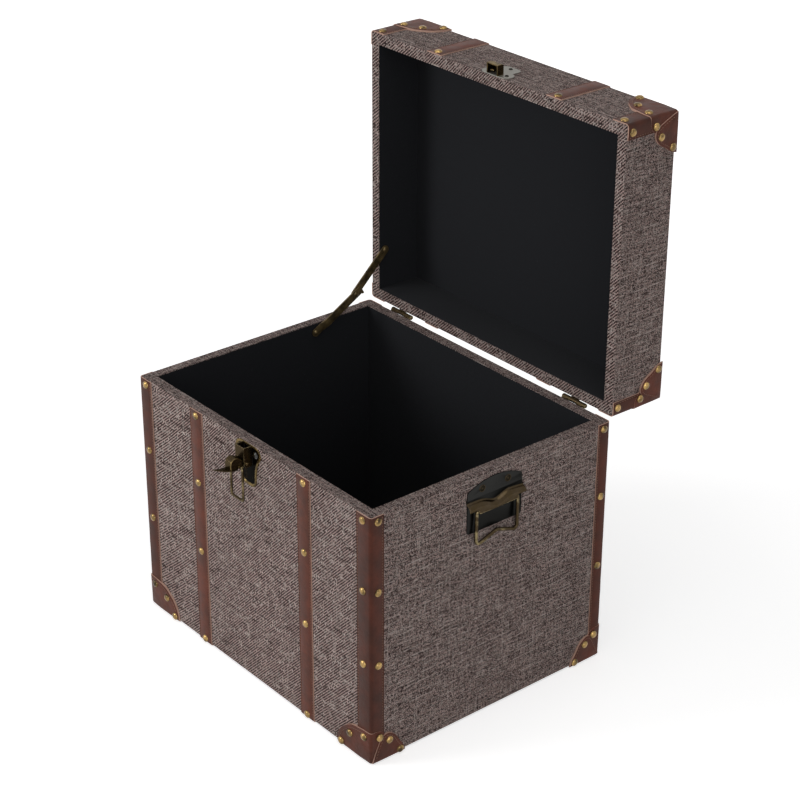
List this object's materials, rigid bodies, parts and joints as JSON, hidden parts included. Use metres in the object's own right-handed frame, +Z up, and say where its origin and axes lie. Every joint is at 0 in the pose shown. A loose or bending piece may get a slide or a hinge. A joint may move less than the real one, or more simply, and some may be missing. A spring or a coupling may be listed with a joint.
{
  "type": "storage trunk",
  "caption": "Cloth-covered storage trunk with leather strips, corner patches and tacks, a hinged lid on a folding stay, a lever latch with a wire bail, and side handles.",
  "frame": {"origin": "centre of the base on the surface that the trunk stands on", "axes": "+Z up, the latch faces -Y, the hinges are at +Y, +X is the trunk's right side seen from the front"},
  "size_m": [0.397, 0.4187, 0.5975],
  "materials": {
    "board": "raw fibreboard",
    "woven_cloth": "slubby plain weave in mauve brown and grey",
    "dark_lining": "matt near-black lining",
    "base_felt": "matt black felt",
    "leather": "reddish brown leather, lightly worn",
    "tack_brass": "aged olive gold",
    "pale_steel": "pale aged plate",
    "bail_wire": "aged brass wire",
    "dark_bronze": "dark bronze with brass showing at the edges",
    "antique_brass": "antique brass"
  },
  "bodies": {
    "trunk": {"body_front_board": "board", "body_back_board": "board", "body_left_board": "board", "body_right_board": "board", "body_floor_board": "board", "body_cloth_cover": "woven_cloth", "body_lining": "dark_lining", "base_sheet": "base_felt", "body_front_strap_right": "leather", "body_front_strap_left": "leather", "body_corner_strip_front_right": "leather", "body_corner_strip_front_left": "leather", "body_corner_strip_back_right": "leather", "body_corner_strip_back_left": "leather", "body_corner_patch_front_right": "leather", "body_corner_patch_front_left": "leather", "body_corner_patch_back_right": "leather", "body_corner_patch_back_left": "leather", "body_tacks": "tack_brass", "latch_base_plate": "antique_brass", "latch_socket": "antique_brass", "latch_rivets": "antique_brass", "latch_pivot_pin": "antique_brass", "handle_plate_right": "dark_bronze", "handle_plate_left": "dark_bronze", "handle_rivets": "dark_bronze", "hinge_body_leaves": "antique_brass", "hinge_pins": "antique_brass", "hinge_body_screws": "antique_brass", "stay_body_stud": "antique_brass"},
    "lid": {"lid_top_board": "board", "lid_front_board": "board", "lid_back_board": "board", "lid_left_board": "board", "lid_right_board": "board", "lid_cloth_cover": "woven_cloth", "lid_lining": "dark_lining", "lid_strap_right": "leather", "lid_strap_left": "leather", "lid_corner_strips": "leather", "lid_corner_patch_front_right": "leather", "lid_corner_patch_front_left": "leather", "lid_corner_patch_back_right": "leather", "lid_corner_patch_back_left": "leather", "lid_tacks": "tack_brass", "keeper_plate": "pale_steel", "keeper_screws": "pale_steel", "hinge_lid_leaves": "antique_brass", "hinge_lid_screws": "antique_brass"},
    "latch_lever": {"latch_lever": "antique_brass"},
    "latch_bail": {"latch_bail": "bail_wire"},
    "handle_bail_right": {"handle_bail_right": "bail_wire"},
    "handle_bail_left": {"handle_bail_left": "bail_wire"},
    "stay_lower_arm": {"stay_lower_arm": "antique_brass", "stay_elbow_rivet": "antique_brass"},
    "stay_upper_arm": {"stay_upper_arm": "antique_brass", "stay_lid_rivet": "antique_brass"}
  },
  "joints": [
    {"name": "lid_hinge", "type": "hinge", "parent": "trunk", "child": "lid", "pos_m": [0, 0.1555, 0.2775], "axis": [1, 0, 0], "range_deg": [0, 90]},
    {"name": "latch_lever_pivot", "type": "hinge", "parent": "trunk", "child": "latch_lever", "pos_m": [0, -0.1605, 0.259], "axis": [1, 0, 0], "range_deg": [0, 90]},
    {"name": "latch_bail_pivot", "type": "hinge", "parent": "latch_lever", "child": "latch_bail", "pos_m": [0, -0.1675, 0.257], "axis": [-1, 0, 0], "range_deg": [0, 270]},
    {"name": "handle_bail_right_pivot", "type": "hinge", "parent": "trunk", "child": "handle_bail_right", "pos_m": [0.1948, 0, 0.24], "axis": [0, -1, 0], "range_deg": [0, 90]},
    {"name": "handle_bail_left_pivot", "type": "hinge", "parent": "trunk", "child": "handle_bail_left", "pos_m": [-0.1948, 0, 0.24], "axis": [0, 1, 0], "range_deg": [0, 90]},
    {"name": "stay_body_pivot", "type": "hinge", "parent": "trunk", "child": "stay_lower_arm", "pos_m": [-0.1754, 0.066, 0.2665], "axis": [-1, 0, 0], "range_deg": [0, 64.55]},
    {"name": "stay_elbow", "type": "hinge", "parent": "stay_lower_arm", "child": "stay_upper_arm", "pos_m": [-0.1754, 0.1205, 0.2975], "axis": [1, 0, 0], "range_deg": [0, 133.49]}
  ],
  "couplings": [
    {"joint": "latch_bail_pivot", "follows": "latch_lever_pivot", "ratio": 3},
    {"joint": "stay_body_pivot", "follows": "lid_hinge", "ratio": 0.71711},
    {"joint": "stay_elbow", "follows": "lid_hinge", "ratio": 1.4831}
  ]
}
